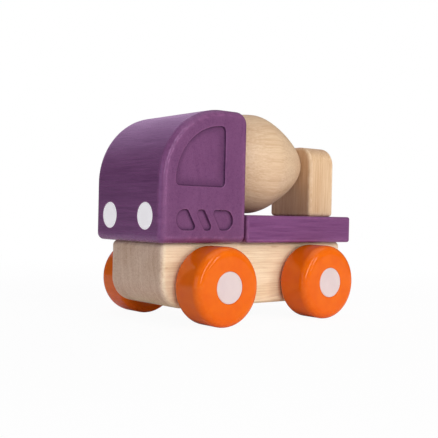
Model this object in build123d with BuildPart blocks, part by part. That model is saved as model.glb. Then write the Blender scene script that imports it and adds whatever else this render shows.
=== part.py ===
from build123d import *
import os
from math import cos, radians, sin

# A palm-sized wooden mixer truck: a cab and a rear deck doweled onto one chassis block, a
# turned drum that spins on a pin between the cab and an upright post, and two axles that
# turn in the chassis with their wheels pressed on.
#
# Millimetres. +Z is up and the ground is Z = 0. The truck faces -Y, its left side is +X,
# and the origin is on the ground, midway along the length and across the width.

# ---- Truck as a whole ----
front_overhang = 23.9          # front axle to the cab's front face
wheelbase = 53.1
rear_overhang = 23.3           # rear axle to the deck's rear face
body_width = 45.9              # of the cab and the deck, whose sides are level
ground_clearance = 6.2         # under the chassis
wheel_top_gap = 0.9            # between the wheels' tops and the cab and deck above them

# ---- Wheels, axles and washers ----
wheel_radius = 15.0
wheel_thickness = 15.2
wheel_outer_round = 3.5
wheel_inner_round = 2.9
hub_cap_radius = 6.05
hub_cap_thickness = 2.5
disc_edge_break = 0.25         # on the rim of every white disc
axle_radius = 3.0
axle_clearance = 0.08          # radial, axle in the chassis and drum on its pin
washer_rim = 1.92              # radial width of the washers
washer_thickness = 0.5
washer_play = 0.05             # on each side of a washer

# ---- Chassis block ----
chassis_width = 36.0
chassis_front_setback = 4.5    # behind the cab's front face
chassis_rear_setback = 0.9     # ahead of the deck's rear face
chassis_bottom_round = 10.3    # seen from the side
chassis_top_round = 2.2        # seen from the side
chassis_edge_round = 1.8

# ---- Cab ----
cab_length = 40.7
cab_height = 50.7
cab_roof_radius = 28.1         # the big quarter round from the front face to the roof
cab_rear_round = 5.0           # roof to the rear face
cab_bottom_round = 2.7
cab_edge_round = 2.4
headlight_radius = 5.15
headlight_thickness = 3.0
headlight_inset = 10.55        # centre from the cab's side
headlight_rise = 9.85          # centre above the cab's underside

# ---- Shallow pockets routed in both cab sides ----
pocket_depth = 0.9
window_band = 6.3              # wood left between the window and the roof's curve
window_sill = 21.2             # above the cab's underside
window_rear_margin = 11.3      # wood left behind the window
window_round = 2.0
vent_front_margin = 6.8
vent_rear_margin = 7.0
vent_height = 7.8
vent_rise = 8.7                # middle of the vents above the cab's underside
vent_bar_width = 2.7
vent_bar_lean = 30.0           # degrees from upright
vent_slot_width = 3.9          # the middle vent, across its lean
vent_slot_shift = -0.5         # of the middle vent from the middle of the row
vent_round = 1.5

# ---- Rear deck and post ----
deck_thickness = 10.95
deck_edge_round = 1.0
deck_seam = 0.15               # between the cab's rear face and the deck
post_width = 25.1
post_above_pin = 8.75          # post's top above the drum's axis
post_thickness = 14.5
post_rear_setback = 0.3        # ahead of the deck's rear face
post_top_round = 7.7
post_bottom_round = 1.6
post_edge_round = 1.1

# ---- Drum and its pin ----
drum_radius = 20.95
drum_deck_gap = 0.7            # between the drum's belly and the deck
drum_belly_setback = 18.9      # widest ring behind the cab's rear face
drum_end_gap = 0.4             # between each end and the face it turns against
drum_front_end_radius = 13.5
drum_front_belly_handle = 8.5  # curve handles: how far each end of the curve keeps straight
drum_front_end_handle = 6.0
drum_front_end_slope = 48.0    # degrees off the axis where the curve meets the flat end
drum_rear_end_radius = 6.75
drum_rear_belly_handle = 5.95
drum_rear_end_handle = 6.35
drum_rear_end_slope = 53.0
drum_end_break = 0.5
pin_radius = 3.0
pin_seat = 8.0                 # length in the cab and in the post

# ---- Glued dowels ----
dowel_radius = 3.0
dowel_seat = 9.0               # length in the chassis, the cab or the post
deck_dowel_seat = 7.0          # length in the thinner deck
dowel_end_gap = 0.5            # left for glue past each end of a dowel or the pin
dowel_end_break = 0.4
cab_dowel_inset = 12.0         # from the chassis's front and from the cab's rear
deck_dowel_inset = 11.0        # from the deck's front and from the post's front
post_dowel_inset = 6.05        # from the post's sides

# ---- Places that follow from the sizes ----
overall_length = front_overhang + wheelbase + rear_overhang
front_y = -overall_length / 2
rear_y = overall_length / 2
front_axle_y = front_y + front_overhang
rear_axle_y = front_axle_y + wheelbase
axle_z = wheel_radius

chassis_front_y = front_y + chassis_front_setback
chassis_rear_y = rear_y - chassis_rear_setback
chassis_top_z = 2 * wheel_radius + wheel_top_gap
chassis_side_x = chassis_width / 2

cab_rear_y = front_y + cab_length
cab_top_z = chassis_top_z + cab_height
body_side_x = body_width / 2
roof_centre_y = front_y + cab_roof_radius
roof_centre_z = cab_top_z - cab_roof_radius
headlight_x = body_side_x - headlight_inset
headlight_z = chassis_top_z + headlight_rise

deck_front_y = cab_rear_y + deck_seam
deck_top_z = chassis_top_z + deck_thickness

post_rear_y = rear_y - post_rear_setback
post_front_y = post_rear_y - post_thickness
post_middle_y = (post_front_y + post_rear_y) / 2
post_dowel_x = post_width / 2 - post_dowel_inset

drum_z = deck_top_z + drum_deck_gap + drum_radius
post_top_z = drum_z + post_above_pin
drum_front_y = cab_rear_y + drum_end_gap
drum_rear_y = post_front_y - drum_end_gap
drum_belly_y = cab_rear_y + drum_belly_setback

axle_bore_radius = axle_radius + axle_clearance
pin_bore_radius = pin_radius + axle_clearance
washer_radius = axle_bore_radius + washer_rim
washer_inner_x = chassis_side_x + washer_play
wheel_inner_x = washer_inner_x + washer_thickness + washer_play
wheel_outer_x = wheel_inner_x + wheel_thickness
axle_end_x = wheel_outer_x - hub_cap_thickness


def side_plane(x):
    """A sketch plane square to X at this X, with sketch x along Y and sketch y along Z."""
    return Plane.YZ.offset(x)


def facing_rear(y):
    """A sketch plane at this Y that grows towards the rear, with sketch x along -X."""
    return Plane(origin=(0, y, 0), x_dir=(-1, 0, 0), z_dir=(0, 1, 0))


def finish(part, name, colour):
    """Labels one finished piece and writes it to its own file."""
    part.label = name
    part.color = Color(*colour)
    export_step(part, f"parts/{name}.step")


os.makedirs("parts", exist_ok=True)
purple = (0.33, 0.16, 0.36)
pale_wood = (0.87, 0.72, 0.52)
orange = (0.90, 0.30, 0.05)
white = (0.88, 0.84, 0.84)
dowel_wood = (0.80, 0.64, 0.43)
fibre = (0.55, 0.50, 0.45)

# Where each upright dowel stands: (x, y)
cab_dowels = {
    "cab_dowel_front": (0, chassis_front_y + cab_dowel_inset),
    "cab_dowel_rear": (0, cab_rear_y - cab_dowel_inset),
}
deck_dowels = {
    "deck_dowel_front": (0, deck_front_y + deck_dowel_inset),
    "deck_dowel_rear": (0, post_front_y - deck_dowel_inset),
}
post_dowels = {
    "post_dowel_left": (post_dowel_x, post_middle_y),
    "post_dowel_right": (-post_dowel_x, post_middle_y),
}


# ---- Chassis: one block with two axle bores and four dowel holes in its top ----
with BuildPart() as chassis:
    with BuildSketch(side_plane(-chassis_side_x)) as chassis_profile:
        with BuildLine():
            Polyline(
                (chassis_front_y, ground_clearance),
                (chassis_rear_y, ground_clearance),
                (chassis_rear_y, chassis_top_z),
                (chassis_front_y, chassis_top_z),
                close=True,
            )
        make_face()
        fillet(chassis_profile.vertices().group_by(Axis.Y)[0], radius=chassis_bottom_round)
        fillet(chassis_profile.vertices().group_by(Axis.Y)[-1], radius=chassis_top_round)
    extrude(amount=chassis_width)
    sides = chassis.faces().filter_by(Axis.X)
    fillet(sides.edges(), radius=chassis_edge_round)
    with BuildSketch(side_plane(0)):
        with Locations((front_axle_y, axle_z), (rear_axle_y, axle_z)):
            Circle(axle_bore_radius)
    extrude(amount=chassis_side_x, both=True, mode=Mode.SUBTRACT)
    with BuildSketch(Plane.XY.offset(chassis_top_z)):
        with Locations(*cab_dowels.values(), *deck_dowels.values()):
            Circle(dowel_radius)
    extrude(amount=-(dowel_seat + dowel_end_gap), mode=Mode.SUBTRACT)
finish(chassis.part, "chassis", pale_wood)


# ---- Outline of the pockets in one cab side: a window and three vents, x along Y, y up ----
window_arc_radius = cab_roof_radius - window_band
window_sill_z = chassis_top_z + window_sill
window_rear_y = cab_rear_y - window_rear_margin
window_top_z = roof_centre_z + (window_arc_radius**2 - (window_rear_y - roof_centre_y) ** 2) ** 0.5
window_front_y = roof_centre_y - (window_arc_radius**2 - (window_sill_z - roof_centre_z) ** 2) ** 0.5
window_arc_middle = (
    roof_centre_y - window_arc_radius * sin(radians(45)),
    roof_centre_z + window_arc_radius * cos(radians(45)),
)
vent_front_y = front_y + vent_front_margin
vent_rear_y = cab_rear_y - vent_rear_margin
vent_middle_y = (vent_front_y + vent_rear_y) / 2
vent_middle_z = chassis_top_z + vent_rise
vent_slot_y = vent_middle_y + vent_slot_shift
vent_bar_shift = (vent_slot_width + vent_bar_width) / 2 / cos(radians(vent_bar_lean))

with BuildSketch() as window:
    with BuildLine():
        Polyline(
            (window_rear_y, window_top_z),
            (window_rear_y, window_sill_z),
            (window_front_y, window_sill_z),
        )
        ThreePointArc(
            (window_front_y, window_sill_z), window_arc_middle, (window_rear_y, window_top_z)
        )
    make_face()
    fillet(window.vertices(), radius=window_round)

with BuildSketch() as vents:
    with Locations((vent_middle_y, vent_middle_z)):
        SlotOverall(vent_rear_y - vent_front_y, vent_height)
    with Locations(
        (vent_slot_y - vent_bar_shift, vent_middle_z), (vent_slot_y + vent_bar_shift, vent_middle_z)
    ):
        Rectangle(vent_bar_width, 2 * vent_height, rotation=vent_bar_lean, mode=Mode.SUBTRACT)
    straight = vents.edges().filter_by(GeomType.LINE)
    leaning = straight.filter_by(Axis.X, reverse=True)
    fillet(leaning.vertices(), radius=vent_round)

# ---- Cab: one block with a quarter-round front, headlight sockets and side pockets ----
with BuildPart() as cab:
    with BuildSketch(side_plane(-body_side_x)) as cab_profile:
        with BuildLine():
            Polyline(
                (front_y, roof_centre_z),
                (front_y, chassis_top_z),
                (cab_rear_y, chassis_top_z),
                (cab_rear_y, cab_top_z),
                (roof_centre_y, cab_top_z),
            )
            CenterArc((roof_centre_y, roof_centre_z), cab_roof_radius, 90, 90)
        make_face()
        bottom_corners = cab_profile.vertices().group_by(Axis.Y)[0]
        fillet(bottom_corners, radius=cab_bottom_round)
        rear_top = cab_profile.vertices().group_by(Axis.Y)[-1].sort_by(Axis.X)[-1]
        fillet(rear_top, radius=cab_rear_round)
    extrude(amount=body_width)
    cab_sides = cab.faces().filter_by(Axis.X)
    fillet(cab_sides.edges(), radius=cab_edge_round)
    for side in (1, -1):
        with BuildSketch(side_plane(side * (body_side_x - pocket_depth))):
            add(window.sketch)
            add(vents.sketch)
        extrude(amount=side * 2 * pocket_depth, mode=Mode.SUBTRACT)
    with BuildSketch(facing_rear(front_y)):
        with Locations((headlight_x, headlight_z), (-headlight_x, headlight_z)):
            Circle(headlight_radius)
    extrude(amount=headlight_thickness, mode=Mode.SUBTRACT)
    with BuildSketch(facing_rear(cab_rear_y)):
        with Locations((0, drum_z)):
            Circle(pin_radius)
    extrude(amount=-(pin_seat + dowel_end_gap), mode=Mode.SUBTRACT)
    with BuildSketch(Plane.XY.offset(chassis_top_z)):
        with Locations(*cab_dowels.values()):
            Circle(dowel_radius)
    extrude(amount=dowel_seat + dowel_end_gap, mode=Mode.SUBTRACT)
finish(cab.part, "cab", purple)

# ---- Headlights: two discs let in flush with the cab's front face ----
for name, x in (("headlight_left", headlight_x), ("headlight_right", -headlight_x)):
    with BuildPart() as headlight:
        with BuildSketch(facing_rear(front_y)):
            with Locations((-x, headlight_z)):
                Circle(headlight_radius)
        extrude(amount=headlight_thickness)
        front_rim = headlight.faces().sort_by(Axis.Y)[0].edges()
        chamfer(front_rim, length=disc_edge_break)
    finish(headlight.part, name, white)

# ---- Rear deck: a flat slab level with the cab's sides ----
with BuildPart() as deck:
    with BuildSketch(Plane.XY.offset(chassis_top_z)):
        with Locations((0, (deck_front_y + rear_y) / 2)):
            Rectangle(body_width, rear_y - deck_front_y)
    extrude(amount=deck_thickness)
    fillet(deck.edges(), radius=deck_edge_round)
    with BuildSketch(Plane.XY.offset(chassis_top_z)):
        with Locations(*deck_dowels.values()):
            Circle(dowel_radius)
    extrude(amount=deck_dowel_seat + dowel_end_gap, mode=Mode.SUBTRACT)
    with BuildSketch(Plane.XY.offset(deck_top_z)):
        with Locations(*post_dowels.values()):
            Circle(dowel_radius)
    extrude(amount=-(deck_dowel_seat + dowel_end_gap), mode=Mode.SUBTRACT)
finish(deck.part, "deck", purple)

# ---- Rear post: an upright block with round shoulders ----
with BuildPart() as rear_post:
    with BuildSketch(facing_rear(post_front_y)) as post_profile:
        with Locations((0, (deck_top_z + post_top_z) / 2)):
            Rectangle(post_width, post_top_z - deck_top_z)
        fillet(post_profile.vertices().group_by(Axis.Y)[-1], radius=post_top_round)
        fillet(post_profile.vertices().group_by(Axis.Y)[0], radius=post_bottom_round)
    extrude(amount=post_thickness)
    post_ends = rear_post.faces().filter_by(Axis.Y)
    fillet(post_ends.edges(), radius=post_edge_round)
    with BuildSketch(facing_rear(post_front_y)):
        with Locations((0, drum_z)):
            Circle(pin_radius)
    extrude(amount=pin_seat + dowel_end_gap, mode=Mode.SUBTRACT)
    with BuildSketch(Plane.XY.offset(deck_top_z)):
        with Locations(*post_dowels.values()):
            Circle(dowel_radius)
    extrude(amount=dowel_seat + dowel_end_gap, mode=Mode.SUBTRACT)
finish(rear_post.part, "rear_post", pale_wood)

# ---- Mixer drum: turned to an egg, fattest behind the cab, with flat bored ends ----
front_slope = radians(drum_front_end_slope)
rear_slope = radians(drum_rear_end_slope)
with BuildPart() as mixer_drum:
    with BuildSketch(Plane.XY.offset(drum_z)) as drum_profile:
        with BuildLine():
            Bezier(
                (drum_front_end_radius, drum_front_y),
                (
                    drum_front_end_radius + drum_front_end_handle * sin(front_slope),
                    drum_front_y + drum_front_end_handle * cos(front_slope),
                ),
                (drum_radius, drum_belly_y - drum_front_belly_handle),
                (drum_radius, drum_belly_y),
            )
            Bezier(
                (drum_radius, drum_belly_y),
                (drum_radius, drum_belly_y + drum_rear_belly_handle),
                (
                    drum_rear_end_radius + drum_rear_end_handle * sin(rear_slope),
                    drum_rear_y - drum_rear_end_handle * cos(rear_slope),
                ),
                (drum_rear_end_radius, drum_rear_y),
            )
            Polyline(
                (drum_rear_end_radius, drum_rear_y),
                (pin_bore_radius, drum_rear_y),
                (pin_bore_radius, drum_front_y),
                (drum_front_end_radius, drum_front_y),
            )
        make_face()
        by_radius = drum_profile.vertices().group_by(Axis.X)
        rear_corner, front_corner = by_radius[1], by_radius[2]
        fillet(rear_corner + front_corner, radius=drum_end_break)
    revolve(axis=Axis((0, 0, drum_z), (0, 1, 0)))
finish(mixer_drum.part, "mixer_drum", pale_wood)

# ---- Drum pin: glued into the cab and the post, with the drum turning on it ----
with BuildPart() as drum_pin:
    with BuildSketch(facing_rear(cab_rear_y - pin_seat)):
        with Locations((0, drum_z)):
            Circle(pin_radius)
    extrude(amount=post_front_y - cab_rear_y + 2 * pin_seat)
    chamfer(drum_pin.faces().filter_by(Axis.Y).edges(), length=dowel_end_break)
finish(drum_pin.part, "drum_pin", dowel_wood)


def upright_dowel(name, place, bottom_z, top_z):
    """Makes one glued dowel that stands at place, an (x, y) pair, between two heights."""
    with BuildPart() as dowel:
        with BuildSketch(Plane.XY.offset(bottom_z)):
            with Locations(place):
                Circle(dowel_radius)
        extrude(amount=top_z - bottom_z)
        chamfer(dowel.faces().filter_by(Axis.Z).edges(), length=dowel_end_break)
    finish(dowel.part, name, dowel_wood)


for name, place in cab_dowels.items():
    upright_dowel(name, place, chassis_top_z - dowel_seat, chassis_top_z + dowel_seat)
for name, place in deck_dowels.items():
    upright_dowel(name, place, chassis_top_z - dowel_seat, chassis_top_z + deck_dowel_seat)
for name, place in post_dowels.items():
    upright_dowel(name, place, deck_top_z - deck_dowel_seat, deck_top_z + dowel_seat)


# ---- Axles, wheels, hub caps and washers ----
def axle(name, y):
    """Makes one axle, long enough to end under the hub caps of its two wheels."""
    with BuildPart() as rod:
        with BuildSketch(side_plane(-axle_end_x)):
            with Locations((y, axle_z)):
                Circle(axle_radius)
        extrude(amount=2 * axle_end_x)
        chamfer(rod.faces().filter_by(Axis.X).edges(), length=dowel_end_break)
    finish(rod.part, name, dowel_wood)


def wheel(name, y, side):
    """Makes one wheel with its bore, its hub cap's seat and its two rounded rims."""
    with BuildPart() as disc:
        with BuildSketch(side_plane(side * wheel_inner_x)):
            with Locations((y, axle_z)):
                Circle(wheel_radius)
        extrude(amount=side * wheel_thickness)
        faces = disc.faces().filter_by(Axis.X).sort_by(Axis.X)
        outer = faces[-1] if side > 0 else faces[0]
        inner = faces[0] if side > 0 else faces[-1]
        fillet(outer.edges(), radius=wheel_outer_round)
        fillet(inner.edges(), radius=wheel_inner_round)
        with BuildSketch(side_plane(side * wheel_inner_x)):
            with Locations((y, axle_z)):
                Circle(axle_radius)
        extrude(amount=side * wheel_thickness, mode=Mode.SUBTRACT)
        with BuildSketch(side_plane(side * axle_end_x)):
            with Locations((y, axle_z)):
                Circle(hub_cap_radius)
        extrude(amount=side * hub_cap_thickness, mode=Mode.SUBTRACT)
    finish(disc.part, name, orange)


def hub_cap(name, y, side):
    """Makes the white disc that hides an axle's end, flush with its wheel's face."""
    with BuildPart() as cap:
        with BuildSketch(side_plane(side * axle_end_x)):
            with Locations((y, axle_z)):
                Circle(hub_cap_radius)
        extrude(amount=side * hub_cap_thickness)
        faces = cap.faces().filter_by(Axis.X).sort_by(Axis.X)
        outer = faces[-1] if side > 0 else faces[0]
        chamfer(outer.edges(), length=disc_edge_break)
    finish(cap.part, name, white)


def washer(name, y, side):
    """Makes the loose washer between a wheel and the chassis."""
    with BuildPart() as ring:
        with BuildSketch(side_plane(side * washer_inner_x)):
            with Locations((y, axle_z)):
                Circle(washer_radius)
                Circle(axle_bore_radius, mode=Mode.SUBTRACT)
        extrude(amount=side * washer_thickness)
    finish(ring.part, name, fibre)


for end, y in (("front", front_axle_y), ("rear", rear_axle_y)):
    axle(f"{end}_axle", y)
    for side_name, side in (("left", 1), ("right", -1)):
        wheel(f"wheel_{end}_{side_name}", y, side)
        hub_cap(f"hub_cap_{end}_{side_name}", y, side)
        washer(f"washer_{end}_{side_name}", y, side)
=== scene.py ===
import logging
import math
from dataclasses import dataclass, field, replace
from enum import Enum

import bmesh
import bpy
import numpy as np
from mathutils import Euler, Matrix, Vector
from mathutils.geometry import tessellate_polygon


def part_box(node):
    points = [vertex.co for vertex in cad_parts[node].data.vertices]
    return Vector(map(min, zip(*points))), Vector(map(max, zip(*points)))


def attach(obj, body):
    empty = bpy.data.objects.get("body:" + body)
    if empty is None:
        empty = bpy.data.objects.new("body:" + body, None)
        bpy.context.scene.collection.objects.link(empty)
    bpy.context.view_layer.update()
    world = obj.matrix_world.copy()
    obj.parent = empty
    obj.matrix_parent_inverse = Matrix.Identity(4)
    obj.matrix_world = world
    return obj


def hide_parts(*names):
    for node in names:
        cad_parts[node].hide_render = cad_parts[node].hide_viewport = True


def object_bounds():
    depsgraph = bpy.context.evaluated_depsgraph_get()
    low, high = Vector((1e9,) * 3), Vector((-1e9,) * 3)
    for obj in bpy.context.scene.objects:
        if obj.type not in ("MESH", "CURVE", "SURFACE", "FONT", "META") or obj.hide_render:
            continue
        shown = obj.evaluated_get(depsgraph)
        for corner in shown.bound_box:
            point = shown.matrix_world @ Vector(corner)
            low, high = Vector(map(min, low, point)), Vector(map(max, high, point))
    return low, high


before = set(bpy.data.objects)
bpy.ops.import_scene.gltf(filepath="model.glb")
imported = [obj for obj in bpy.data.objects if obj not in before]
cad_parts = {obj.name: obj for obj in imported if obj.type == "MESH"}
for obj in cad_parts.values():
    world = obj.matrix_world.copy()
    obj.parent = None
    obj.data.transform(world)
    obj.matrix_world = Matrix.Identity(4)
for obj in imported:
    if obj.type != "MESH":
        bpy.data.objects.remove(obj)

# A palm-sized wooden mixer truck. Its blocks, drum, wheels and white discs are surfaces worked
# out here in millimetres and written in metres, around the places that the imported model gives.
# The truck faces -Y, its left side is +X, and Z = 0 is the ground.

log = logging.getLogger("mixer_truck")

MM = 0.001                   # metres in a millimetre
WELD = 2e-6                  # metres, within which neighbouring surfaces share a point
SHARP_ANGLE = math.radians(50.0)
HAIR = 0.04                  # millimetres that keep a corner's radius above nought
MOUTH_FLAT = 0.25            # millimetres of flat face gathered round a recess's lip
CORNER_WEAR = 0.35           # wear of a corner where it starts to bend
WALL_STAIN_SHADE = 0.7              # share of gathered stain and painted shade halfway down a recess's wall
FLOOR_STAIN_SHADE = 0.55            # and on its floor, beside the foot
FLOOR_EDGE = 0.3             # millimetres from the foot to that place
FLOOR_RINGS = (0.72, 0.35, 0.0)      # the floor's rings, as shares of its outline
CAD_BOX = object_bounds()

Colour = tuple[int, int, int]
Point = tuple[float, float]
Socket = bpy.types.NodeSocket


def other_axes(axis: int) -> tuple[int, int]:
    """The two world axes besides this one, in order."""
    first, second = [other for other in range(3) if other != axis]
    return first, second


class Side(Enum):
    """The six flat faces of a block: the world axis that a face is square to, and its sign."""

    RIGHT = (0, -1)
    LEFT = (0, 1)
    FRONT = (1, -1)
    REAR = (1, 1)
    UNDER = (2, -1)
    TOP = (2, 1)

    @property
    def axis(self) -> int:
        """World axis that the face is square to."""
        return self.value[0]

    @property
    def sign(self) -> int:
        """Which way along that axis the face looks."""
        return self.value[1]

    @property
    def plane_axes(self) -> tuple[int, int]:
        """The two world axes that lie in the face, in order."""
        return other_axes(self.axis)


def node_box(node: str) -> tuple[np.ndarray, np.ndarray]:
    """Gives the lowest and highest corners of a CAD node, in millimetres.

    Args:
        node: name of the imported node.

    Returns:
        Two arrays of three numbers.
    """
    low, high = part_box(node)
    return np.array(low) / MM, np.array(high) / MM


def end_of(node: str, axis: int, sign: int) -> float:
    """Where a CAD node ends along an axis, in millimetres: the high end for 1, the low for -1."""
    return node_box(node)[1 if sign > 0 else 0][axis]


def round_stock(node: str, axis: int) -> tuple[Point, float]:
    """Measures a round CAD node, in millimetres.

    Args:
        node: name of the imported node.
        axis: world axis that it lies along.

    Returns:
        Its middle in the two other axes, and its radius.
    """
    low, high = node_box(node)
    first, second = other_axes(axis)
    middle = (low + high) / 2
    across = first if axis == 2 else second
    return (middle[first], middle[second]), (high[across] - low[across]) / 2


def linear(colour: Colour) -> tuple[float, float, float, float]:
    """Turns a colour in 0 to 255 display values into linear light.

    Args:
        colour: red, green and blue.

    Returns:
        Linear red, green, blue and an alpha of one.
    """
    share = np.array(colour, float) / 255.0
    light = np.where(share <= 0.04045, share / 12.92, ((share + 0.055) / 1.055) ** 2.4)
    return float(light[0]), float(light[1]), float(light[2]), 1.0


# ---- Outlines: convex, made of arcs that straight lines join ----

@dataclass(frozen=True)
class Arc:
    """One rounded stretch of a convex outline, by the directions in which its surface looks."""

    centre: Point
    radius: float
    start: float                 # degrees
    end: float
    step: float = 0.6            # length of wood between points
    fewest: int = 10

    def directions(self) -> np.ndarray:
        """Angles of its points, in radians, evenly spaced from start to end."""
        turn = math.radians(self.end - self.start)
        pieces = max(self.fewest, math.ceil(self.radius * turn / self.step))
        return math.radians(self.start) + np.linspace(0.0, turn, pieces + 1)


class Outline:
    """A convex outline that can be drawn smaller or larger with the same number of points."""

    def __init__(self, arcs: list[Arc]) -> None:
        """Keeps the arcs, and finds which points of neighbouring arcs coincide.

        Args:
            arcs: in turning order, anticlockwise, each starting as the one before ends.
        """
        self.arcs = arcs
        raw = self._raw(0.0)
        gap = np.linalg.norm(raw - np.roll(raw, 1, axis=0), axis=1)
        self.kept = gap > 1e-6

    def _raw(self, inset: float) -> np.ndarray:
        """Each arc's centre plus its radius, less the inset, times its directions."""
        rows = []
        for arc in self.arcs:
            angle = arc.directions()
            reach = arc.radius - inset
            across = arc.centre[0] + reach * np.cos(angle)
            up = arc.centre[1] + reach * np.sin(angle)
            rows.append(np.stack([across, up], axis=1))
        return np.concatenate(rows)

    def points(self, inset: float) -> np.ndarray:
        """The outline moved inwards by inset, or outwards where it is negative."""
        return self._raw(inset)[self.kept]


class Circle(Outline):
    """A whole circle."""

    def __init__(self, centre: Point, radius: float, step: float = 0.45) -> None:
        """Keeps the circle as one arc that turns right round.

        Args:
            centre: in the two world axes of its face.
            radius: in millimetres.
            step: length between points.
        """
        super().__init__([Arc(centre, radius, 0.0, 360.0, step, 40)])


def meeting(angle_a: float, reach_a: float, angle_b: float, reach_b: float) -> Point:
    """Where two straight edges meet.

    Args:
        angle_a: direction that the first edge looks in, in degrees.
        reach_a: distance of that edge from the axes' origin, in that direction.
        angle_b: direction that the second edge looks in.
        reach_b: its distance.

    Returns:
        The point on both edges.
    """
    a, b = math.radians(angle_a), math.radians(angle_b)
    rows = np.array([[math.cos(a), math.sin(a)], [math.cos(b), math.sin(b)]])
    across, up = np.linalg.solve(rows, np.array([reach_a, reach_b]))
    return float(across), float(up)


@dataclass(frozen=True)
class RoundedRectangle:
    """A rectangle with four corner radii, drawn with a short ease beside each corner."""

    low: Point
    high: Point
    radii: tuple[float, float, float, float]      # low-low, high-low, high-high, low-high
    ease: float = 0.7            # flat wood beside a corner over which its wear fades
    worn_radius: float = 5.5     # corners rounder than this aren't worn as edges

    def ring(self, inset: float) -> tuple[np.ndarray, np.ndarray, list[int]]:
        """Draws the outline moved inwards.

        Each corner is a quarter circle whose centre is its radius away from both sides, or a
        hair more than the inset where that is larger, so that the sides stay parallel.

        Args:
            inset: distance inwards.

        Returns:
            The points, how much of a worn edge each one is, and the index of the first
            point of each of the four flat stretches: under, high, over and low.
        """
        corners = (
            (self.low[0], self.low[1], 1, 1, 180.0),
            (self.high[0], self.low[1], -1, 1, 270.0),
            (self.high[0], self.high[1], -1, -1, 0.0),
            (self.low[0], self.high[1], 1, -1, 90.0),
        )
        points, worn_and_highlit, flats, count = [], [], [], 0
        for (across, up, sign_a, sign_u, start), radius in zip(corners, self.radii):
            away = max(radius, inset + HAIR)
            centre = np.array([across + sign_a * away, up + sign_u * away])
            turn = Arc((0.0, 0.0), radius, start, start + 90.0).directions()
            looks = np.stack([np.cos(turn), np.sin(turn)], axis=1)
            arc = centre + (away - inset) * looks
            along_first = np.array([-looks[0, 1], looks[0, 0]])
            along_last = np.array([-looks[-1, 1], looks[-1, 0]])
            before = arc[0] - self.ease * along_first
            after = arc[-1] + self.ease * along_last
            points.append(np.vstack([before, arc, after]))
            bend = np.sin(np.linspace(0.0, math.pi, len(arc)))
            share = 1.0 if radius < self.worn_radius else 0.0
            worn_and_highlit.append(np.concatenate([[0.0], share * (CORNER_WEAR + (1.0 - CORNER_WEAR) * bend), [0.0]]))
            count += len(arc) + 2
            flats.append(count - 1)
        return np.concatenate(points), np.concatenate(worn_and_highlit), flats


@dataclass(frozen=True)
class Recess:
    """A pocket, socket or bore cut square into a face."""

    side: Side
    outline: Outline
    depth: float
    lip: float = 0.12            # rounding of its mouth
    floor_round: float = 0.1     # rounding between its wall and its floor
    through: bool = False        # a bore from this face to the one opposite

    @property
    def margin(self) -> float:
        """How far outside its wall the flat face gives way to the lip."""
        return self.lip + MOUTH_FLAT


# ---- Skins: surfaces gathered into one closed mesh ----

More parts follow.
